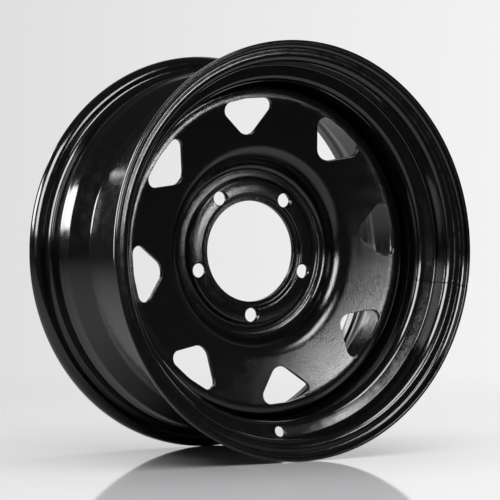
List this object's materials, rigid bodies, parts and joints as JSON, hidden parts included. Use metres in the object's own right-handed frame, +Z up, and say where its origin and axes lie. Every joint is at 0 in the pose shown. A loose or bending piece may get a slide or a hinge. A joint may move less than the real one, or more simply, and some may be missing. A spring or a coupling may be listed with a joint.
{
  "type": "steel wheel rim",
  "caption": "Black steel wheel rim: a rolled drop-centre rim with a welded, pressed disc that has rounded triangular windows, a centre bore and conical bolt seats.",
  "frame": {"origin": "centre of the wheel on the face that seats on the hub", "axes": "+Y along the wheel's axis towards the vehicle (inboard), +Z up, outboard side towards -Y"},
  "size_m": [0.4421, 0.203, 0.4422],
  "materials": {
    "rim_paint": "gloss black paint",
    "disc_paint": "satin black powder coat with a fine grain",
    "weld_paint": "black paint over weld runs"
  },
  "bodies": {
    "root": {"rim": "rim_paint", "disc": "disc_paint", "weld_beads": "weld_paint"}
  },
  "joints": []
}
